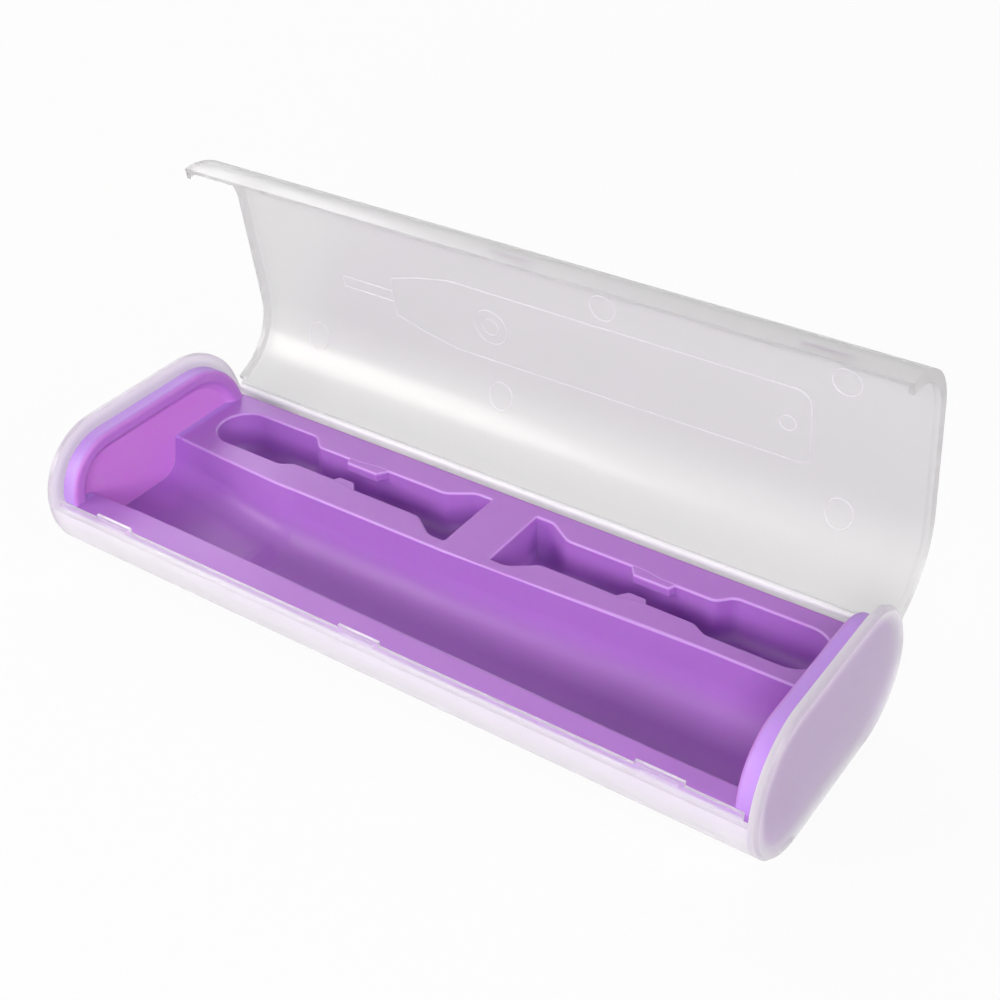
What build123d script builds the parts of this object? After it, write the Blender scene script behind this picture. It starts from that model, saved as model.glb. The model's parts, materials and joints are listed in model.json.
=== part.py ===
from build123d import *
from math import acos, hypot, sin, tan
import os

# Travel case for an electric toothbrush: a clear frosted shell (base, living hinge and lid in
# one moulding) and a coloured tray clipped into the base. Millimetres, +Z up, X along the case,
# Y from the front rim towards the hinge. The origin is the centre of the flat the case rests on.
os.makedirs("parts", exist_ok=True)

# Case outline, seen from the end: a four-sided shape with large turns, Y from the front wall
case_length = 230.0        # over both end caps
case_height = 43.1         # flat underside to the tops of the end caps
front_lean = 0.3           # how far the front wall leans out over the case's height
back_lean = 15.1           # how far the back wall leans in over the case's height
turn_front_floor = 22.4
turn_back_floor = 18.6
turn_back_top = 23.2
turn_front_top = 20.4

# Clear shell
shell_wall = 1.8           # skin of the base
cap_wall = 2.3             # full-height end caps of the base
cap_bevel = 0.9            # outer edge of the end caps
rim_height = 22.0          # outer front rim of the base
lip_height = 2.2           # lip standing inside the rim, over which the lid's front edge drops
lip_wall = 0.8
lip_root = 3.4             # depth to which the lip is rooted behind the front wall
tongue_width = 13.2        # snap tongues on the lip
tongue_rise = 1.3          # how far they stand above the lip
tongue_pitch = 89.0        # from the middle tongue to each outer one
bead_width = 10.4          # snap bead on each tongue's outer face
bead_proud = 0.4
bead_tall = 1.1

# Lid
lid_set = 0.15             # lid's outer face, inside the line of the end caps
lid_wall = 1.15
flange_wall = 1.5          # turned-in flanges at the lid's two ends
flange_depth = 3.35        # outer face of the lid to the flange's free edge
end_gap = 0.3              # lid to end cap, each end
close_gap = 0.25           # lid's front edge to the rim when closed
slide_gap = 0.25           # lid skin to the lip behind it
catch_width = 13.2         # bars inside the lid, just above the closed tongues
catch_tall = 1.1
catch_reach = 2.6          # outer face of the lid to the bar's inner edge
relief_depth = 0.45        # groove in the lid's lip that lets the snap beads pass
open_angle = 83.4          # lid stands this far open as stored

# Living hinge
hinge_height = 22.2        # bending line, which lies in the outer face of the base's back wall
web_wall = 0.5
web_length = 1.5           # free web between the base's back edge and the lid's

# Tray
fit_gap = 0.3              # tray to shell
flex_gap = 1.05            # lip to tray, where the tongues spring inwards
tray_wall = 1.2
tray_top = 22.4            # level of the ledges and of the strip between the wells
mouth_bevel = 0.45         # softened edges of the trough's and the wells' mouths
end_face = 5.7             # case end to the inner face of the tray's end wall
bead_face = 8.0            # case end to the inner face of the end wall's rolled edge
bead_band = 3.6            # width of the rolled edge, from its outer face inwards
bead_flank = 2.6           # width of the slope from the rolled edge down to the end wall
bead_round = 1.5           # inner edge of the rolled edge
end_bevel = 0.75           # outer edge of the end walls, next to the end caps
lid_clear = 0.3            # tray's end walls to the closed lid's flanges

# Handle trough: a deep part for the handle and a shallow ramp for the brush's neck, joined by a
# soft step. Its throat, the narrowest place, is in the middle of the case.
trough_front = 11.4        # from the front wall, at the throat
trough_width = 33.0        # at the throat
trough_lean = 1.2          # how far each wall leans in, mouth to floor
trough_radius = 11.5         # turn between its walls and its floor
throat_x = -5.0
swell_run = 33.3           # stretch of full width, up to the end wall
swell_front = 1.2          # how much wider it is there than at the throat
swell_back = 3.0
ramp_run = 47.8            # end wall to the middle of the step between the ramp and the deep part
step_run = 9.0             # length of the step
step_middle = 4.0          # length of its steep middle part
step_share = 0.7           # share of the drop in that part
step_pinch = 0.9           # how much the front wall is drawn in at the step
neck_floor_end = 10.5      # floor level of the ramp at the end wall
neck_floor_step = 6.4      # floor level of the ramp at the step
neck_radius = 6.8
neck_lean = 2.8            # how far each wall of the ramp leans in
flare_run = 19.0           # length of the flare at the ramp's end
flare_front = 0.9
flare_back = 2.4           # half of it by the end of the flare, and the rest by the step

# Brush-head wells, one the mirror of the other about the middle of the case
well_floor = 9.2           # floor level
well_floor_radius = 3.4      # turn between its walls and its floor
land_half = 7.8            # middle of the case to the square end of each well
tip_land = 6.9             # rounded end of each well to the end wall
strip_width = 4.2          # trough to the feet of the wells
foot_width = 22.8          # wide square end, for the foot of a brush head
ledge_back = 4.55          # feet of the wells to the tray's back edge
foot_length = 5.6
foot_corner = 0.5          # corners of the square end
foot_slope = 7.6           # length over which it narrows
stem_width = 12.6          # stem of the brush head
grip_run = 19.0            # bristle end back to the middle of the two gripping lugs
grip_gap = 6.5             # between the lugs, which stand out from the walls near the mouth
grip_tall = 2.8
grip_drop = 0.15           # lugs' tops below the ledges
grip_back_length = 14.4
grip_front_length = 8.6
grip_ramp = 2.4            # slope of each lug's end, towards the middle of the case
grip_butt = 1.0            # slope of its other end
grip_round = 0.9           # corners of the lugs, seen from above
grip_edge = 0.5            # bevel of their upper edges
grip_taper = 6.0           # stretch by the lugs over which the stem narrows to the neck
neck_width = 10.5          # between the lugs and the bristle end
waist_shift = 0.3          # stem, lugs and neck, from the middle of the foot towards the hinge
bristle_length = 34.4      # bristle end, from where it starts to widen to its rounded tip
bristle_width = 17.0
bristle_shift = 1.1        # bristle end, from the middle of the foot towards the hinge
bristle_ramp = 4.0
well_radius = 1.3            # turns of the well's outline
wide_radius = 5.2            # turns where the foot narrows to the stem
bristle_start_radius = 3.9   # turns where the neck widens to the bristle end

half_length = case_length / 2
lid_half = half_length - cap_wall - end_gap
lip_half = lid_half - flange_wall - slide_gap
tray_half = half_length - cap_wall - fit_gap
lip_inset = lid_set + lid_wall + slide_gap
tray_inset = lip_inset + lip_wall + flex_gap
end_inset = lid_set + flange_depth + lid_clear
trough_floor = shell_wall + fit_gap + tray_wall
end_x = half_length - end_face      # inner faces of the tray's end walls
neck_end = ramp_run - end_x
swell_x = end_x - swell_run
well_tip = end_x - tip_land
bristle_start = well_tip - bristle_length
grip_middle = bristle_start - grip_run
trough_back = trough_front + trough_width
foot_front = trough_back + strip_width
foot_back = foot_front + foot_width
well_middle = (foot_front + foot_back) / 2
back_wall = foot_back + ledge_back + tray_inset             # outer face at the tray's level
floor_depth = back_wall + back_lean * tray_top / case_height
top_depth = floor_depth - back_lean
middle_y = floor_depth / 2          # the front rim is ahead of it and the hinge behind it
beyond = case_height + floor_depth  # longer than any cut across the case needs
over = 1.0                          # how far a cut runs past the face it opens
touch = 0.01                        # how near a plane an edge counts as lying in it


full_share = 0.999                   # share of a side that its two turns may take


def unit(from_point, to_point):
    """Direction and distance from one point to another."""
    run = (to_point[0] - from_point[0], to_point[1] - from_point[1])
    length = hypot(*run)
    return (run[0] / length, run[1] / length), length


def rounded_face(corners):
    """Closed face through (a, b, turn radius) corners; a side too short for its turns eases them."""
    count = len(corners)
    ways = []
    for i in range(count):
        back, back_length = unit(corners[i], corners[i - 1])
        ahead, ahead_length = unit(corners[i], corners[(i + 1) % count])
        half_angle = acos(back[0] * ahead[0] + back[1] * ahead[1]) / 2
        ways.append([back, ahead, ahead_length, half_angle, corners[i][2] / tan(half_angle)])
    ease = [1.0] * count
    for i in range(count):
        after = (i + 1) % count
        needed = ways[i][4] + ways[after][4]
        room = full_share * ways[i][2]
        if needed > room:
            ease[i] = min(ease[i], room / needed)
            ease[after] = min(ease[after], room / needed)
    starts, middles, ends = [], [], []
    for i in range(count):
        back, ahead, _, half_angle, reach = ways[i]
        reach *= ease[i]
        radius = corners[i][2] * ease[i]
        a, b = corners[i][0], corners[i][1]
        starts.append((a + back[0] * reach, b + back[1] * reach))
        ends.append((a + ahead[0] * reach, b + ahead[1] * reach))
        middle, _ = unit((0, 0), (back[0] + ahead[0], back[1] + ahead[1]))
        deep = radius / sin(half_angle) - radius
        middles.append((a + middle[0] * deep, b + middle[1] * deep))
    edges = []
    for i in range(count):
        if corners[i][2] > 0:
            edges.append(ThreePointArc(starts[i], middles[i], ends[i]))
        edges.append(Line(ends[i], starts[(i + 1) % count]))
    return Face(Wire(edges))


case_outline = rounded_face([
    (0, 0, turn_front_floor),
    (floor_depth, 0, turn_back_floor),
    (top_depth, case_height, turn_back_top),
    (-front_lean, case_height, turn_front_top),
])
floor_edge = case_outline.edges().sort_by(Axis.Y)[0]
foot_middle = (floor_edge @ 0.5).X


def prism(inset, x_start, x_end):
    """The case outline, drawn in by an inset and run along X."""
    face = offset(case_outline, amount=-inset) if inset else case_outline
    return extrude(Plane.YZ.offset(x_start) * face, amount=x_end - x_start)


def band(inset, thickness, x_start, x_end):
    """A skin that follows the case outline, between an inset and a deeper one."""
    return prism(inset, x_start, x_end) - prism(inset + thickness, x_start - over, x_end + over)


def slab(x_start, x_end, y_start, y_end, z_start, z_end):
    """A block between two corners."""
    size = (x_end - x_start, y_end - y_start, z_end - z_start)
    return Pos(x_start, y_start, z_start) * Box(*size, align=(Align.MIN, Align.MIN, Align.MIN))


def outer_y(height):
    """Where the case outline's back wall is at a given height."""
    level = Plane.XY * Line((-beyond, height), (beyond, height))
    crossing = case_outline.intersect(level)
    return max(vertex.X for edge in crossing.edges() for vertex in edge.vertices())


hinge_y = outer_y(hinge_height)
hinge_axis = Axis((0, hinge_y, hinge_height), (1, 0, 0))
base_back_top = hinge_height - web_length / 2
lid_back_edge = hinge_height + web_length / 2


def end_edges(body, x):
    """Edges of a body that lie in the plane across the case at x."""
    return body.edges().filter_by_position(Axis.X, x - touch, x + touch)


def web_bevel_cut(level, wall_inset, half_width, way):
    """45-degree wedge that thins a skin to the web; the skin is below it (way 1) or above (-1)."""
    inner_y = outer_y(level) - wall_inset
    depth = wall_inset - lid_set - web_wall
    wedge = Polyline([
        (inner_y + depth + over, level + way * over),
        (inner_y - over, level + way * over),
        (inner_y - over, level - way * (depth + over)),
    ], close=True)
    return extrude(Plane.YZ.offset(-half_width) * Face(Wire(wedge)), amount=2 * half_width)


def tongue_places():
    """Middles of the three snap tongues along the front rim."""
    return (-tongue_pitch, 0.0, tongue_pitch)


def front_lip():
    """Lip inside the front rim, with three snap tongues and the bead on each."""
    lip_top = rim_height + lip_height
    lip = band(lip_inset, lip_wall, -lip_half, lip_half)
    lip &= slab(-beyond, beyond, -beyond, middle_y, rim_height - lip_root, lip_top)
    root = band(shell_wall / 2, lip_inset + lip_wall - shell_wall / 2, -lip_half, lip_half)
    lip += root & slab(-beyond, beyond, -beyond, middle_y, rim_height - lip_root, rim_height)
    for place in tongue_places():
        tongue = band(lip_inset, lip_wall, place - tongue_width / 2, place + tongue_width / 2)
        tongue_top = lip_top + tongue_rise
        lip += tongue & slab(-beyond, beyond, -beyond, middle_y, lip_top - lip_wall, tongue_top)
        bead = band(lip_inset - bead_proud, bead_proud + lip_wall / 2,
                    place - bead_width / 2, place + bead_width / 2)
        bead_low = lip_top - bead_tall / 2
        lip += bead & slab(-beyond, beyond, -beyond, middle_y, bead_low, bead_low + bead_tall)
    return lip


def base_shell():
    """Clear tub with full-height end caps, low walls between them and the snap lip in front."""
    body = prism(0, -half_length, half_length)
    body = chamfer(end_edges(body, half_length) + end_edges(body, -half_length), cap_bevel)
    cap_face = half_length - cap_wall
    mouth = slab(-cap_face, cap_face, -beyond, middle_y, rim_height, beyond)
    mouth += slab(-cap_face, cap_face, middle_y, beyond, base_back_top, beyond)
    body -= prism(shell_wall, -cap_face, cap_face) + mouth
    body -= web_bevel_cut(base_back_top, shell_wall, cap_face, 1)
    return body + front_lip()


def lid_catches():
    """Bars inside the lid that come down just above the tongues."""
    low = rim_height + lip_height + tongue_rise + fit_gap
    bars = []
    for place in tongue_places():
        bar = band(lid_set + lid_wall / 2, catch_reach - lid_wall / 2,
                   place - catch_width / 2, place + catch_width / 2)
        bars.append(bar & slab(-beyond, beyond, -beyond, middle_y, low, low + catch_tall))
    return bars


def bead_reliefs():
    """Grooves in the lid's front lip along which the snap beads pass."""
    high = rim_height + lip_height + bead_tall / 2 + slide_gap
    grooves = []
    for place in tongue_places():
        reach = bead_width / 2 + slide_gap
        groove = band(lid_set + lid_wall - relief_depth, 2 * relief_depth, place - reach, place + reach)
        grooves.append(groove & slab(-beyond, beyond, -beyond, middle_y, -beyond, high))
    return grooves


def closed_lid():
    """Curved lid skin with turned-in end flanges, in its closed place between the end caps."""
    body = prism(lid_set, -lid_half, lid_half)
    inner_half = lid_half - flange_wall
    hollow = prism(lid_set + lid_wall, -inner_half, inner_half)
    hollow += prism(lid_set + flange_depth, -lid_half - over, lid_half + over)
    below = slab(-beyond, beyond, -beyond, middle_y, -beyond, rim_height + close_gap)
    below += slab(-beyond, beyond, middle_y, beyond, -beyond, lid_back_edge)
    body -= hollow + below
    body -= web_bevel_cut(lid_back_edge, lid_set + lid_wall, inner_half, -1)
    for groove in bead_reliefs():
        body -= groove
    for bar in lid_catches():
        body += bar
    return body


def lid_shell():
    """The lid, standing open."""
    return closed_lid().rotate(hinge_axis, -open_angle)


def web_bend(inner, outer):
    """Rounded inside of the bend, about the bending line, between the web's two halves."""
    rod = Cylinder(hinge_y - inner, 2 * lid_half) - Cylinder(hinge_y - outer, 2 * lid_half)
    turned = Pos(0, hinge_y, hinge_height) * Rot(0, 90, 0) * rod
    base_side = slab(-beyond, beyond, -beyond, hinge_y, hinge_height, beyond)
    lid_side = slab(-beyond, beyond, -beyond, hinge_y, -beyond, hinge_height)
    return turned & base_side & lid_side.rotate(hinge_axis, -open_angle)


def hinge_web():
    """Thin web that bends along the hinge line between the base and the lid."""
    outer = hinge_y - lid_set
    inner = outer - web_wall
    fixed = slab(-lid_half, lid_half, inner, outer, base_back_top, hinge_height)
    moving = slab(-lid_half, lid_half, inner, outer, hinge_height, lid_back_edge)
    moving = moving.rotate(hinge_axis, -open_angle)
    return fixed + moving + web_bend(inner, outer)


def channel(station, grow):
    """Section of the trough across the case, open upwards; grown, it is the tray's outside."""
    x, front, back, floor, turn, lean = station
    top = tray_top if grow else tray_top + over
    face = rounded_face([
        (front - grow, top, 0),
        (front + lean - grow, floor - grow, turn + grow),
        (back - lean + grow, floor - grow, turn + grow),
        (back + grow, top, 0),
    ])
    return Plane.YZ.offset(x) * face


def between(start, end, share):
    """Station that lies a share of the way from one to another, in all but its place."""
    return [a + (b - a) * share for a, b in zip(start, end)]


def trough_stations():
    """Place, mouth, floor level, turn and lean of the trough's sections, along X."""
    pinched = trough_front + step_pinch
    ramp = neck_floor_step, neck_radius, neck_lean
    deep = trough_floor, trough_radius, trough_lean
    slope = (neck_floor_end - neck_floor_step) / (ramp_run - step_run / 2)
    flare_floor = neck_floor_end - slope * flare_run
    high = (neck_end - step_run / 2, pinched, trough_back, *ramp)
    low = (neck_end + step_run / 2, pinched, trough_back, *deep)
    upper = between(high, low, (1 - step_share) / 2)
    lower = between(high, low, (1 + step_share) / 2)
    upper[0] = neck_end - step_middle / 2
    lower[0] = neck_end + step_middle / 2
    wide = trough_front - swell_front, trough_back + swell_back, *deep
    return [
        (-end_x, pinched - flare_front, trough_back + flare_back, neck_floor_end, neck_radius, neck_lean),
        (flare_run - end_x, pinched, trough_back + flare_back / 2, flare_floor, neck_radius, neck_lean),
        high,
        upper,
        lower,
        low,
        (throat_x, trough_front, trough_back, *deep),
        (swell_x, *wide),
        (end_x, *wide),
    ]


def trough(grow):
    """Handle trough and neck ramp as a solid, grown by the tray's wall for its underside."""
    return loft([channel(station, grow) for station in trough_stations()], ruled=True)


def well_outline():
    """Outline of one brush-head well, from its square foot to its rounded bristle end."""
    foot_end = land_half + foot_length
    waist = well_middle + waist_shift
    bristle_middle = well_middle + bristle_shift
    stations = [
        (land_half, well_middle, foot_width, foot_corner),
        (foot_end, well_middle, foot_width, wide_radius),
        (foot_end + foot_slope, waist, stem_width, wide_radius),
        (grip_middle - grip_taper / 2, waist, stem_width, well_radius),
        (grip_middle + grip_taper / 2, waist, neck_width, well_radius),
        (bristle_start, waist, neck_width, bristle_start_radius),
        (bristle_start + bristle_ramp, bristle_middle, bristle_width, bristle_start_radius),
        (well_tip, bristle_middle, bristle_width, bristle_width / 2),
    ]
    front = [(x, middle - width / 2, turn) for x, middle, width, turn in stations]
    back = [(x, middle + width / 2, turn) for x, middle, width, turn in reversed(stations)]
    return rounded_face(front + back)


def well(grow):
    """Brush-head well as a solid, grown by the tray's wall for its underside."""
    outline = well_outline()
    if grow:
        face = offset(outline, amount=grow)
        return extrude(Pos(0, 0, well_floor - grow) * face, amount=tray_top - well_floor + grow)
    body = extrude(Pos(0, 0, well_floor) * outline, amount=tray_top + over - well_floor)
    floor_edges = body.edges().filter_by_position(Axis.Z, well_floor - touch, well_floor + touch)
    return fillet(floor_edges, well_floor_radius)


def grip_lug(length, way):
    """Lug near a well's mouth that grips the stem; it is on the back wall (way 1) or the front (-1)."""
    low_x = grip_middle - length / 2
    high_x = grip_middle + length / 2
    waist = well_middle + waist_shift
    root = waist + way * (stem_width / 2 + tray_wall)
    crest = waist + way * grip_gap / 2
    corners = [
        (low_x - grip_ramp / 2, root, 0),
        (low_x, waist + way * stem_width / 2, 0),
        (low_x + grip_ramp, crest, grip_round),
        (high_x - grip_butt, crest, grip_round),
        (high_x, waist + way * neck_width / 2, 0),
        (high_x, root, 0),
    ]
    top = tray_top - grip_drop
    lug = extrude(Pos(0, 0, top - grip_tall) * rounded_face(corners), amount=grip_tall, dir=(0, 0, 1))
    return chamfer(lug.edges().filter_by_position(Axis.Z, top - touch, top + touch), grip_edge)


def end_hollow(bead):
    """Hollow inside the rolled edge, narrowing along its flank from the bead to the end wall."""
    mouth = offset(case_outline, amount=-end_inset - bead_band)
    foot = offset(case_outline, amount=-end_inset - bead_band - bead_flank)
    return loft([Plane.YZ.offset(bead) * mouth, Plane.YZ.offset(end_x) * foot], ruled=True)


def tray_end():
    """End wall of the tray at +X, with the rolled edge that the closed lid's flange clears."""
    bead = half_length - bead_face
    body = prism(end_inset, bead, tray_half)
    body = fillet(end_edges(body, bead), bead_round)
    body = chamfer(end_edges(body, tray_half), end_bevel)
    return body - end_hollow(bead)


def both(body):
    """A body and its mirror image about the middle of the case."""
    return [body, mirror(body, about=Plane.YZ)]


def inner_tray():
    """One-piece tray: ledges, handle trough, two brush-head wells and two end walls."""
    body = prism(tray_inset, -end_x, end_x)
    body &= slab(-beyond, beyond, -beyond, beyond, tray_top - tray_wall, tray_top)
    grown = well(tray_wall)
    hollows = trough(tray_wall) + both(grown)
    body += hollows & prism(shell_wall + fit_gap, -end_x, end_x)
    body = body - trough(0) - both(well(0))
    mouths = body.edges().filter_by_position(Axis.Z, tray_top - touch, tray_top + touch)
    body = chamfer([edge for edge in mouths if edge_is_mouth(edge)], mouth_bevel)
    lugs = grown & (grip_lug(grip_back_length, 1) + grip_lug(grip_front_length, -1))
    rolled = tray_end() - slab(-beyond, end_x, -beyond, beyond, -beyond, tray_top)
    return body + both(lugs) + both(rolled)


def edge_is_mouth(edge):
    """True for an edge that borders a well or the trough, not the tray's own outline."""
    middle = edge @ 0.5
    front = trough_front - swell_front - touch
    return abs(middle.X) < end_x - touch and front < middle.Y < foot_back + touch


parts = {
    "base_shell": base_shell(),
    "lid_shell": lid_shell(),
    "hinge_web": hinge_web(),
    "inner_tray": inner_tray(),
}
for name, body in parts.items():
    export_step(Pos(0, -foot_middle, 0) * body, "parts/" + name + ".step")
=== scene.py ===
import bmesh
import bpy
import json
from math import cos, radians, sin
from mathutils import Matrix, Vector
from mathutils.bvhtree import BVHTree


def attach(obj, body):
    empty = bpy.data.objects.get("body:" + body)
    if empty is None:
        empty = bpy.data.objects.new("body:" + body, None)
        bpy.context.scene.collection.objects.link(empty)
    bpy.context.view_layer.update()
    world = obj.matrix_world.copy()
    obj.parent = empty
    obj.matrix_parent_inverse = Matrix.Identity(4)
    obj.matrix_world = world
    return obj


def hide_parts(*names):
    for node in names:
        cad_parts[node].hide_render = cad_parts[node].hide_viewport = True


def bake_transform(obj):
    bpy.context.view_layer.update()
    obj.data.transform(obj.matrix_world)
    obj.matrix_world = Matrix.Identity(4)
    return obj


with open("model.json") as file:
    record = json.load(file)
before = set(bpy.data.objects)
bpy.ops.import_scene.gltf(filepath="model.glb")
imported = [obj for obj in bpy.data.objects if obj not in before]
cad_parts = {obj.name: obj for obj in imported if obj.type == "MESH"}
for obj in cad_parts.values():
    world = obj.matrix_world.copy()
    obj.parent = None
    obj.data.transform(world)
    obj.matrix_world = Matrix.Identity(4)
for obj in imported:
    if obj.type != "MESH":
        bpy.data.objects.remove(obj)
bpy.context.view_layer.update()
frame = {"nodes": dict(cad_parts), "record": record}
nodes = frame["nodes"]

# Camera
# A lens a little longer than normal, above the front right corner and looking down across the open
# case. Its frame is square, and the small shift puts the case a little above the middle of it.
camera_place = (0.21996, -0.27266, 0.29355)
camera_data = bpy.data.cameras.new("camera")
camera_data.sensor_width = 36.0
camera_data.lens = 58.49
camera_data.shift_x = -0.0003
camera_data.shift_y = -0.0184
camera_data.clip_start = 0.01
camera = bpy.data.objects.new("camera", camera_data)
right = Vector((0.81689, 0.57574, -0.03479))
up = Vector((-0.30738, 0.48557, 0.81838))
back = Vector((0.48807, -0.65783, 0.57363))
turn = Matrix((right, up, back)).transposed().to_4x4()
camera.matrix_world = Matrix.Translation(camera_place) @ turn
bpy.context.collection.objects.link(camera)
bpy.context.scene.camera = camera


# Studio
# The case stands on a white sweep under a pale sky. The strongest soft lamp stands in front to the
# right and the next in front to the left, with weaker ones above, behind and at both ends.
def link(tree, start, end):
    tree.links.new(start, end)


def add_node(tree, kind, **inputs):
    node = tree.nodes.new(kind)
    for name, value in inputs.items():
        node.inputs[name.replace("_", " ")].default_value = value
    return node


def add_math(tree, operation, *values):
    """A Math node whose inputs are numbers or other nodes' outputs."""
    node = tree.nodes.new("ShaderNodeMath")
    node.operation = operation
    for place, value in zip(node.inputs, values):
        if isinstance(value, (int, float)):
            place.default_value = value
        else:
            link(tree, value, place)
    return node.outputs[0]


def mix_shaders(tree, share, first, second):
    """Output of a mix of two shaders: share 0 is the first and 1 the second."""
    node = tree.nodes.new("ShaderNodeMixShader")
    link(tree, share, node.inputs[0])
    link(tree, first, node.inputs[1])
    link(tree, second, node.inputs[2])
    return node.outputs[0]


def seen_rays(tree):
    """1 for rays that look: the camera's, mirrored ones and those through the plastic."""
    path = tree.nodes.new("ShaderNodeLightPath")
    eye = add_math(tree, "MAXIMUM", path.outputs["Is Camera Ray"], path.outputs["Is Glossy Ray"])
    eye = add_math(tree, "MAXIMUM", eye, path.outputs["Is Transmission Ray"])
    unscattered = add_math(tree, "LESS_THAN", path.outputs["Diffuse Depth"], 0.5)
    return add_math(tree, "MULTIPLY", eye, unscattered)


bpy.context.scene.view_settings.view_transform = "Standard"
floor_half = 3.0
floor_white = 0.88
floor_glow = 0.92          # share of the sweep's brightness that no shadow takes away
floor_mesh = bpy.data.meshes.new("floor")
floor_corners = [(-floor_half, -floor_half, 0), (floor_half, -floor_half, 0),
                 (floor_half, floor_half, 0), (-floor_half, floor_half, 0)]
floor_mesh.from_pydata(floor_corners, [], [(0, 1, 2, 3)])
floor = bpy.data.objects.new("floor", floor_mesh)
bpy.context.collection.objects.link(floor)
floor_material = bpy.data.materials.new("floor_white")
floor_material.use_nodes = True
tree = floor_material.node_tree
tree.nodes.clear()
paper = add_node(tree, "ShaderNodeBsdfDiffuse", Color=(floor_white, floor_white, floor_white, 1))
glow = add_node(tree, "ShaderNodeEmission", Color=(1, 1, 1, 1), Strength=1.0)
glow_share = add_math(tree, "MULTIPLY", seen_rays(tree), floor_glow)
sweep = mix_shaders(tree, glow_share, paper.outputs[0], glow.outputs[0])
link(tree, sweep, tree.nodes.new("ShaderNodeOutputMaterial").inputs["Surface"])
floor_mesh.materials.append(floor_material)

sky_light = 0.22           # what the sky gives the case; to the eye it is plain white
world = bpy.data.worlds.new("sky")
world.use_nodes = True
bpy.context.scene.world = world
tree = world.node_tree
tree.nodes.clear()
plain = add_node(tree, "ShaderNodeBackground", Color=(1, 1, 1, 1), Strength=sky_light)
white = add_node(tree, "ShaderNodeBackground", Color=(1, 1, 1, 1), Strength=1.0)
sky = mix_shaders(tree, seen_rays(tree), plain.outputs[0], white.outputs[0])
link(tree, sky, tree.nodes.new("ShaderNodeOutputWorld").inputs["Surface"])


def soft_lamp(name, place, target, size, power, colour):
    data = bpy.data.lights.new(name, "AREA")
    data.shape = "RECTANGLE"
    data.size = size[0]
    data.size_y = size[1]
    data.energy = power
    data.color = colour
    lamp = bpy.data.objects.new(name, data)
    lamp.location = place
    lamp.rotation_euler = (Vector(target) - Vector(place)).to_track_quat("-Z", "Y").to_euler()
    bpy.context.collection.objects.link(lamp)


soft_lamp("lamp_key", (-0.84, -0.90, 0.60), (0, 0, 0.04), (0.5, 0.7), 8.0, (1.0, 0.96, 0.91))
soft_lamp("lamp_front", (0.55, -1.25, 0.65), (0, 0, 0.02), (0.6, 0.5), 12.0, (1.0, 0.97, 1.0))
soft_lamp("lamp_above", (-0.1, 0.2, 1.2), (0, 0, 0.02), (0.9, 0.9), 0.5, (1.0, 0.98, 1.0))
soft_lamp("lamp_right", (1.2, -0.1, 0.55), (-0.1, 0, 0.02), (0.4, 0.4), 4.6, (1.0, 0.90, 0.94))
soft_lamp("lamp_behind", (-0.3, 1.0, 0.8), (0, 0, 0.03), (1.4, 1.0), 3.2, (1.0, 1.0, 1.0))
soft_lamp("lamp_left", (-1.0, 0.72, 0.86), (-0.05, 0, 0.02), (0.6, 0.6), 3.2, (1.0, 0.99, 1.0))


# Frosted plastic
# Base, hinge and lid are one polypropylene moulding with a fine orange peel. It is milkier in the
# thick base and clearer in the thin lid, and its skin has a soft gloss over the haze inside.
edge_turn = 0.0003         # softness of the moulding's edges
peel_pitch = 700.0
peel_height = 0.00002
peel_strength = 0.25
wall_bend = 1.30           # low index: such a thin wall hardly shifts what is seen through it
skin_index = 1.49
skin_haze = 0.17
lamp_share = 0.8           # light that each skin lets on to what is behind it
many_turns = 4.0           # a ray that has turned this often sees a fixed pale emission, light painted in for what scatters inside the wall
painted_scattered_light = (0.72, 0.71, 0.71, 1)


def frosted(name, colour, clearness, haze, gloss):
    """Clearness is the share of light let through, haze its blur, and gloss the skin's shine."""
    material = bpy.data.materials.new(name)
    material.use_nodes = True
    tree = material.node_tree
    plastic = tree.nodes["Principled BSDF"]
    plastic.inputs["Base Color"].default_value = colour
    plastic.inputs["Roughness"].default_value = haze
    plastic.inputs["IOR"].default_value = wall_bend
    plastic.inputs["Transmission Weight"].default_value = clearness
    plastic.inputs["Coat Weight"].default_value = gloss
    plastic.inputs["Coat Roughness"].default_value = skin_haze
    plastic.inputs["Coat IOR"].default_value = skin_index
    place = tree.nodes.new("ShaderNodeTexCoord")
    peel = add_node(tree, "ShaderNodeTexNoise", Scale=peel_pitch, Detail=2.0)
    link(tree, place.outputs["Object"], peel.inputs["Vector"])
    soft = add_node(tree, "ShaderNodeBevel", Radius=edge_turn)
    soft.samples = 4
    bump = add_node(tree, "ShaderNodeBump", Strength=peel_strength, Distance=peel_height)
    link(tree, soft.outputs["Normal"], bump.inputs["Normal"])
    link(tree, peel.outputs["Fac"], bump.inputs["Height"])
    link(tree, bump.outputs["Normal"], plastic.inputs["Normal"])
    link(tree, bump.outputs["Normal"], plastic.inputs["Coat Normal"])
    path = tree.nodes.new("ShaderNodeLightPath")
    deep = add_math(tree, "GREATER_THAN", path.outputs["Ray Depth"], many_turns)
    unscattered = add_math(tree, "LESS_THAN", path.outputs["Diffuse Depth"], 0.5)
    # Painted light: a fixed pale emission stands in for the light scattered inside the wall on rays
    # past many turns.
    inner = add_node(tree, "ShaderNodeEmission", Color=painted_scattered_light, Strength=1.0)
    scattered = add_math(tree, "MULTIPLY", deep, unscattered)
    milky = mix_shaders(tree, scattered, plastic.outputs[0], inner.outputs[0])
    clear = add_node(tree, "ShaderNodeBsdfTransparent", Color=colour)
    let_on = add_math(tree, "MULTIPLY", path.outputs["Is Shadow Ray"], lamp_share)
    wall = mix_shaders(tree, let_on, milky, clear.outputs[0])
    link(tree, wall, tree.nodes["Material Output"].inputs["Surface"])
    return material


def dress(node, material):
    """Give a CAD node its finish."""
    for place in nodes[node].material_slots:
        place.material = material


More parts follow.
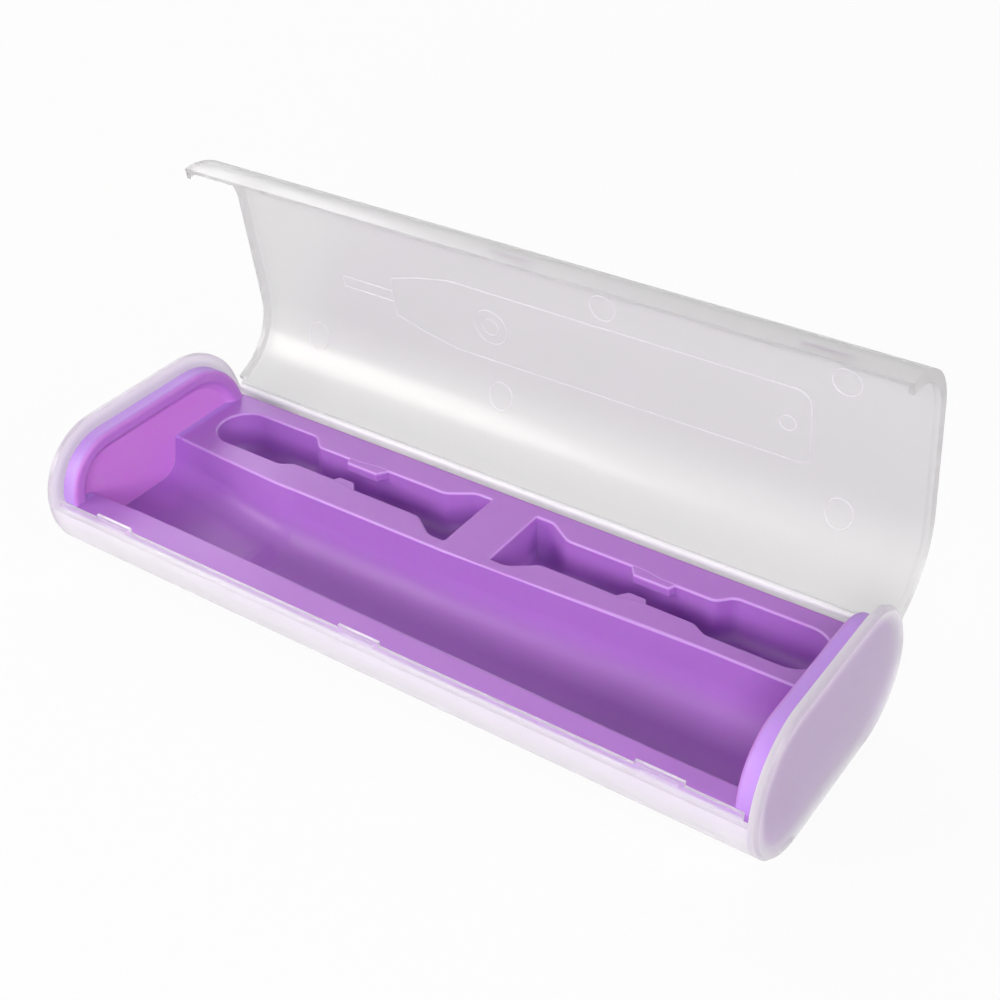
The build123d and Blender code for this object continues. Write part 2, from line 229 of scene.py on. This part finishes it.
# Base
# A tub with full-height end caps, a low front rim with its snap lip, and a low back wall. The caps,
# but for a rim all round, and the thin snap tongues are clearer than the milky tub between them.
cap_face = 0.1125          # inner face of the caps, from the middle of the case
cap_border = 0.0055        # milky rim round each cap
rim_evenness = 0.96        # all rim below this, and all clear panel above the next
panel_evenness = 0.999
snap_level = 0.0226        # the tongues stand above this
tub_clearness = 0.60
cap_clearness = 0.92
tub_haze = 0.30
tub_gloss = 0.4
tub_tint = (0.93, 0.92, 0.95, 1)
# the caps' clear panels get a darker, purpler tint than the tub: painted shade
cap_painted_shade_tint = (0.64, 0.58, 0.71, 1)


def mix_colour(tree, share, low, high):
    """Colour between two, each a colour or another node's output."""
    node = tree.nodes.new("ShaderNodeMix")
    node.data_type = "RGBA"
    link(tree, share, node.inputs[0])
    for place, value in ((node.inputs[6], low), (node.inputs[7], high)):
        if isinstance(value, tuple):
            place.default_value = value
        else:
            link(tree, value, place)
    return node.outputs[2]


base_plastic = frosted("frosted_base", tub_tint, tub_clearness, tub_haze, tub_gloss)
tree = base_plastic.node_tree
place = tree.nodes.new("ShaderNodeTexCoord")
parted = tree.nodes.new("ShaderNodeSeparateXYZ")
link(tree, place.outputs["Object"], parted.inputs[0])
along = add_math(tree, "ABSOLUTE", parted.outputs["X"])
in_cap = add_math(tree, "GREATER_THAN", along, cap_face)
turning = add_node(tree, "ShaderNodeBevel", Radius=cap_border)
turning.samples = 8
flat = tree.nodes.new("ShaderNodeNewGeometry")
evenness = tree.nodes.new("ShaderNodeVectorMath")  # 1 on the flat, less beside an edge
evenness.operation = "DOT_PRODUCT"
link(tree, turning.outputs["Normal"], evenness.inputs[0])
link(tree, flat.outputs["Normal"], evenness.inputs[1])
middle_share = add_node(tree, "ShaderNodeMapRange", From_Min=rim_evenness, From_Max=panel_evenness)
link(tree, evenness.outputs["Value"], middle_share.inputs["Value"])
panel = add_math(tree, "MULTIPLY", in_cap, middle_share.outputs["Result"])
above_rim = add_math(tree, "GREATER_THAN", parted.outputs["Z"], snap_level)
tongues = add_math(tree, "SUBTRACT", above_rim, in_cap)
clear_share = add_math(tree, "MAXIMUM", panel, tongues)
cleared = add_math(tree, "MULTIPLY_ADD", clear_share, cap_clearness - tub_clearness, tub_clearness)
plastic = tree.nodes["Principled BSDF"]
link(tree, cleared, plastic.inputs["Transmission Weight"])
# The clear cap panels take the darker, purpler tint, a painted shade; their rim keeps the tub's
# tint.
link(tree, mix_colour(tree, panel, tub_tint, cap_painted_shade_tint), plastic.inputs["Base Color"])
dress("base_shell", base_plastic)


# Living hinge
# A web half a millimetre thin, moulded in one with the base and the lid, that bends along the
# hinge line. It is drawn here as one strip, bent as the lid stands at rest.
lid_joint = frame["record"]["behaviour"]["joints"][0]
hinge_y, hinge_z = lid_joint["pos_m"][1:]
lid_turn = radians(-lid_joint["range_deg"][0])  # from closed to open, as the lid stands at rest
web_half = 0.11235         # half its length
web_leg = 0.00075          # straight part on each side of the bend
web_near = 0.00015         # outer face of the web to the bending line
web_far = 0.00065          # inner face
web_bends = 10


def bend_section(reach):
    """Line of one face of the web, from the base's edge round the bend to the lid's edge."""
    line = [(hinge_y - reach, hinge_z - web_leg)]
    for step in range(web_bends + 1):
        angle = lid_turn * step / web_bends
        line.append((hinge_y - reach * cos(angle), hinge_z + reach * sin(angle)))
    end_y = -reach * cos(lid_turn) + web_leg * sin(lid_turn)
    end_z = reach * sin(lid_turn) + web_leg * cos(lid_turn)
    line.append((hinge_y + end_y, hinge_z + end_z))
    return line


ring = bend_section(web_near) + bend_section(web_far)[::-1]
web_mesh = bpy.data.meshes.new("living_hinge")
corners = [(x, y, z) for x in (-web_half, web_half) for y, z in ring]
count = len(ring)
sides = [(i, (i + 1) % count, count + (i + 1) % count, count + i) for i in range(count)]
ends = [tuple(range(count)), tuple(range(2 * count - 1, count - 1, -1))]
web_mesh.from_pydata(corners, [], sides + ends)
shape = bmesh.new()
shape.from_mesh(web_mesh)
bmesh.ops.recalc_face_normals(shape, faces=shape.faces)
bmesh.ops.triangulate(shape, faces=shape.faces)
shape.to_mesh(web_mesh)
shape.free()
web = bpy.data.objects.new("living_hinge", web_mesh)
bpy.context.collection.objects.link(web)
web_mesh.materials.append(base_plastic)
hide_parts("hinge_web")
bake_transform(web)


# Lid
# A curved sheet with turned-in ends, clearer than the base, and in one with it through the thin
# hinge.
lid_tint = (0.76, 0.76, 0.76, 1)
lid_clearness = 0.84
lid_haze = 0.34
lid_gloss = 0.28
lid_plastic = frosted("frosted_lid", lid_tint, lid_clearness, lid_haze, lid_gloss)
dress("lid_shell", lid_plastic)


# Raised lines inside the lid
# Low ridges moulded on the lid's inner face: the plain outline of a toothbrush, which shows which
# way round it lies, a ring for its button, and the rings that the ejector pins leave.
line_width = 0.0005
line_rise = 0.0002
turn_steps = 6                      # points in each rounded corner
ring_steps = 36                     # and round each ring
ridge_sides = 10                    # sides of a ridge's section
merge_reach = 0.000001
drawing_y = -0.0015                 # middle line of the drawing, with the lid closed
inner_face = 0.0418                 # height of the lid's flat inner face, closed
cavity_reach = 0.012                # from that face down into the case, where the lid curves down
handle_line = [                     # corners as x, y and the radius that they turn with
    (0.0782, 0.0119, 0.0045), (-0.036, 0.0119, 0.02), (-0.0478, 0.0094, 0.01),
    (-0.0575, 0.0065, 0.0008), (-0.0575, -0.0065, 0.0008), (-0.0478, -0.0094, 0.01),
    (-0.036, -0.0119, 0.02), (0.0782, -0.0119, 0.0045)]
neck_line = [
    (-0.0575, 0.0018, 0.0), (-0.0768, 0.0018, 0.0005),
    (-0.0768, -0.0018, 0.0005), (-0.0575, -0.0018, 0.0)]
button_rings = [(-0.0225, 0.0, 0.0057), (-0.0225, 0.0, 0.0027), (0.0715, 0.0, 0.0024)]
pin_radius = 0.004
pin_rings = [
    (-0.0905, 0.0237, pin_radius), (-0.0207, 0.0231, pin_radius), (0.0875, 0.0233, pin_radius),
    (0.0165, -0.0186, pin_radius), (0.0875, -0.0186, pin_radius)]
line_tint = (0.93, 0.93, 0.95, 1)
line_clearness = 0.55
line_haze = 0.30
line_gloss = 0.5
line_plastic = frosted("frosted_lines", line_tint, line_clearness, line_haze, line_gloss)


def ridge_tree():
    """Geometry Nodes: a mesh's edges become low ridges and its loose points become round ones."""
    tree = bpy.data.node_groups.new("raised_lines", "GeometryNodeTree")
    sockets = {"Geometry": "Geometry", "Width": "Float", "Rise": "Float", "Finish": "Material"}
    for label, kind in sockets.items():
        tree.interface.new_socket(name=label, in_out="INPUT", socket_type="NodeSocket" + kind)
    tree.interface.new_socket(name="Geometry", in_out="OUTPUT", socket_type="NodeSocketGeometry")
    add = tree.nodes.new
    given = add("NodeGroupInput")
    turn = add_node(tree, "GeometryNodeInputNamedAttribute", Name="turn")
    ring = add_node(tree, "GeometryNodeInputNamedAttribute", Name="ring")
    lines = add("GeometryNodeMeshToCurve")
    link(tree, given.outputs["Geometry"], lines.inputs["Mesh"])
    rounded = add("GeometryNodeFilletCurve")
    rounded.mode = "POLY"
    rounded.inputs["Count"].default_value = turn_steps
    link(tree, lines.outputs["Curve"], rounded.inputs["Curve"])
    link(tree, turn.outputs["Attribute"], rounded.inputs["Radius"])

    is_ring = add("FunctionNodeCompare")
    link(tree, ring.outputs["Attribute"], is_ring.inputs["A"])
    circle = add_node(tree, "GeometryNodeCurvePrimitiveCircle", Resolution=ring_steps, Radius=1.0)
    rings = add("GeometryNodeInstanceOnPoints")
    link(tree, given.outputs["Geometry"], rings.inputs["Points"])
    link(tree, is_ring.outputs["Result"], rings.inputs["Selection"])
    link(tree, circle.outputs["Curve"], rings.inputs["Instance"])
    link(tree, ring.outputs["Attribute"], rings.inputs["Scale"])
    loose = add("GeometryNodeRealizeInstances")
    link(tree, rings.outputs["Instances"], loose.inputs["Geometry"])

    paths = add("GeometryNodeJoinGeometry")
    link(tree, rounded.outputs["Curve"], paths.inputs["Geometry"])
    link(tree, loose.outputs["Geometry"], paths.inputs["Geometry"])
    upright = add("GeometryNodeSetCurveNormal")
    upright.mode = "Z_UP"
    link(tree, paths.outputs["Geometry"], upright.inputs["Curve"])
    half_width = add_math(tree, "MULTIPLY", given.outputs["Width"], 0.5)
    section = add("ShaderNodeCombineXYZ")
    link(tree, half_width, section.inputs["X"])
    link(tree, given.outputs["Rise"], section.inputs["Y"])
    bead = add_node(tree, "GeometryNodeCurvePrimitiveCircle", Resolution=ridge_sides, Radius=1.0)
    flat_bead = add("GeometryNodeTransform")
    link(tree, bead.outputs["Curve"], flat_bead.inputs["Geometry"])
    link(tree, section.outputs["Vector"], flat_bead.inputs["Scale"])
    swept = add_node(tree, "GeometryNodeCurveToMesh", Fill_Caps=True)
    link(tree, upright.outputs["Curve"], swept.inputs["Curve"])
    link(tree, flat_bead.outputs["Geometry"], swept.inputs["Profile Curve"])
    real = add("GeometryNodeRealizeInstances")
    link(tree, swept.outputs["Mesh"], real.inputs["Geometry"])
    finish = add("GeometryNodeSetMaterial")
    link(tree, real.outputs["Geometry"], finish.inputs["Geometry"])
    link(tree, given.outputs["Finish"], finish.inputs["Material"])
    result = add("NodeGroupOutput")
    link(tree, finish.outputs["Geometry"], result.inputs["Geometry"])
    return tree


def ridges(name, lines, rings):
    """One mesh of ridges, along open or closed lines of (x, y, turn) corners and along
    (x, y, radius) rings."""
    corners, edges, turns, radii = [], [], [], []
    for line, closed in lines:
        first = len(corners)
        for x, y, turn in line:
            corners.append((x, y, 0))
            turns.append(turn)
            radii.append(0.0)
        edges += [(i, i + 1) for i in range(first, len(corners) - 1)]
        if closed:
            edges.append((len(corners) - 1, first))
    for x, y, radius in rings:
        corners.append((x, y, 0))
        turns.append(0.0)
        radii.append(radius)
    sketch = bpy.data.meshes.new(name + "_sketch")
    sketch.from_pydata(corners, edges, [])
    sketch.attributes.new("turn", "FLOAT", "POINT").data.foreach_set("value", turns)
    sketch.attributes.new("ring", "FLOAT", "POINT").data.foreach_set("value", radii)
    piece = bpy.data.objects.new(name, sketch)
    bpy.context.collection.objects.link(piece)
    modifier = piece.modifiers.new("ridges", "NODES")
    modifier.node_group = ridge_tree()
    values = {"Width": line_width, "Rise": line_rise, "Finish": line_plastic}
    for socket in modifier.node_group.interface.items_tree:
        if socket.in_out == "INPUT" and socket.name in values:
            modifier[socket.identifier] = values[socket.name]
    drawn = piece.evaluated_get(bpy.context.evaluated_depsgraph_get())
    piece_mesh = bpy.data.meshes.new_from_object(drawn)
    piece.modifiers.clear()
    piece.data = piece_mesh
    return piece


outlines = [(handle_line, True), (neck_line, False)]
drawing = ridges("lid_raised_lines", outlines, button_rings + pin_rings)
closed_place = Matrix.Translation((0, drawing_y, inner_face))
bend_place = Matrix.Translation((0, hinge_y, hinge_z))
opened = bend_place @ Matrix.Rotation(-lid_turn, 4, "X") @ bend_place.inverted()
through_lid = opened.to_3x3() @ Vector((0, 0, 1))
sheet = nodes["lid_shell"].data
sheet_corners = [corner.co for corner in sheet.vertices]
sheet_faces = BVHTree.FromPolygons(sheet_corners, [face.vertices for face in sheet.polygons])
for corner in drawing.data.vertices:
    start = opened @ closed_place @ Vector((corner.co.x, corner.co.y, -cavity_reach))
    on_sheet = sheet_faces.ray_cast(start, through_lid)[0]
    corner.co = on_sheet + through_lid * corner.co.z
shape = bmesh.new()
shape.from_mesh(drawing.data)
bmesh.ops.remove_doubles(shape, verts=shape.verts, dist=merge_reach)
bmesh.ops.recalc_face_normals(shape, faces=shape.faces)
shape.to_mesh(drawing.data)
shape.free()
for face in drawing.data.polygons:
    face.use_smooth = True
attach(drawing, "lid")


# Tray
# One opaque purple moulding lying in the base, with a satin, finely etched skin. Its end walls are
# painted pinker and lighter as painted light, their rolled edges a lighter, bluer lavender as a
# painted sheen, and the softened edges of its hollows lighter as a painted highlight.
tray_colour = (0.45, 0.185, 0.635, 1)
# pinker, lighter colour of the end walls: painted light
end_painted_light = (0.70, 0.28, 0.80, 1)
# lighter, bluer lavender of the rolled edges: painted sheen
roll_painted_sheen = (0.52, 0.29, 0.78, 1)
# lighter colour on the softened edges of the hollows: painted highlight
edge_painted_highlight = (0.60, 0.36, 0.80, 1)
end_fade_start = 0.1060    # from the middle of the case
end_fade_stop = 0.1085
mouth_level = 0.02190      # just under the ledges
mouth_half = 0.1066        # the hollows end before the end walls
edge_highlight_lift = 0.8            # share of the painted highlight on their edges
plumb = 0.6                # a face whose normal is more than this along X is end wall or its slope
level_face = 0.95          # and one whose normal is more than this along Z is level
least_rough = 0.40
cloud_rough = 0.10
cloud_pitch = 60.0
etch_pitch = 2600.0
etch_height = 0.00001
etch_strength = 0.3
tray_edge_turn = 0.0006
tray_index = 1.58
glow_share_inside = 0.5    # share of the light that turns back from inside the plastic
glow_reach = 0.003
glow_spread = (1.0, 0.25, 0.8)

tray_plastic = bpy.data.materials.new("satin_purple")
tray_plastic.use_nodes = True
tree = tray_plastic.node_tree
plastic = tree.nodes["Principled BSDF"]
plastic.inputs["IOR"].default_value = tray_index
plastic.inputs["Subsurface Weight"].default_value = glow_share_inside
plastic.inputs["Subsurface Radius"].default_value = glow_spread
plastic.inputs["Subsurface Scale"].default_value = glow_reach
place = tree.nodes.new("ShaderNodeTexCoord")
parted = tree.nodes.new("ShaderNodeSeparateXYZ")
link(tree, place.outputs["Object"], parted.inputs[0])
along = add_math(tree, "ABSOLUTE", parted.outputs["X"])
fade = add_node(tree, "ShaderNodeMapRange", From_Min=end_fade_start, From_Max=end_fade_stop)
fade.interpolation_type = "SMOOTHSTEP"
link(tree, along, fade.inputs["Value"])
end_share = fade.outputs["Result"]
high = add_math(tree, "GREATER_THAN", parted.outputs["Z"], mouth_level)
roll_share = add_math(tree, "MULTIPLY", end_share, high)
facing = tree.nodes.new("ShaderNodeNewGeometry")
lie = tree.nodes.new("ShaderNodeSeparateXYZ")
link(tree, facing.outputs["True Normal"], lie.inputs[0])
upright = add_math(tree, "GREATER_THAN", add_math(tree, "ABSOLUTE", lie.outputs["X"]), plumb)
# the rolled edges above the ledges take the lighter lavender, a painted sheen
rolled_colour = mix_colour(tree, roll_share, tray_colour, roll_painted_sheen)
# the end walls take the pinker, lighter colour, painted light
wall_colour = mix_colour(tree, end_share, tray_colour, end_painted_light)
body_colour = mix_colour(tree, upright, rolled_colour, wall_colour)
# the sloped faces at the mouths of the hollows take a lighter colour, a painted highlight
sloped = add_math(tree, "LESS_THAN", lie.outputs["Z"], level_face)
inside = add_math(tree, "LESS_THAN", along, mouth_half)
at_mouth = add_math(tree, "MULTIPLY", add_math(tree, "MULTIPLY", sloped, high), inside)
edge_highlight_share = add_math(tree, "MULTIPLY", at_mouth, edge_highlight_lift)
skin_colour = mix_colour(tree, edge_highlight_share, body_colour, edge_painted_highlight)
link(tree, skin_colour, plastic.inputs["Base Color"])
cloud = add_node(tree, "ShaderNodeTexNoise", Scale=cloud_pitch, Detail=3.0)
link(tree, place.outputs["Object"], cloud.inputs["Vector"])
satin = add_math(tree, "MULTIPLY_ADD", cloud.outputs["Fac"], cloud_rough, least_rough)
link(tree, satin, plastic.inputs["Roughness"])
round_edge = add_node(tree, "ShaderNodeBevel", Radius=tray_edge_turn)
round_edge.samples = 8
etch = add_node(tree, "ShaderNodeTexNoise", Scale=etch_pitch, Detail=2.0)
link(tree, place.outputs["Object"], etch.inputs["Vector"])
bump = add_node(tree, "ShaderNodeBump", Strength=etch_strength, Distance=etch_height)
link(tree, round_edge.outputs["Normal"], bump.inputs["Normal"])
link(tree, etch.outputs["Fac"], bump.inputs["Height"])
link(tree, bump.outputs["Normal"], plastic.inputs["Normal"])
dress("inner_tray", tray_plastic)
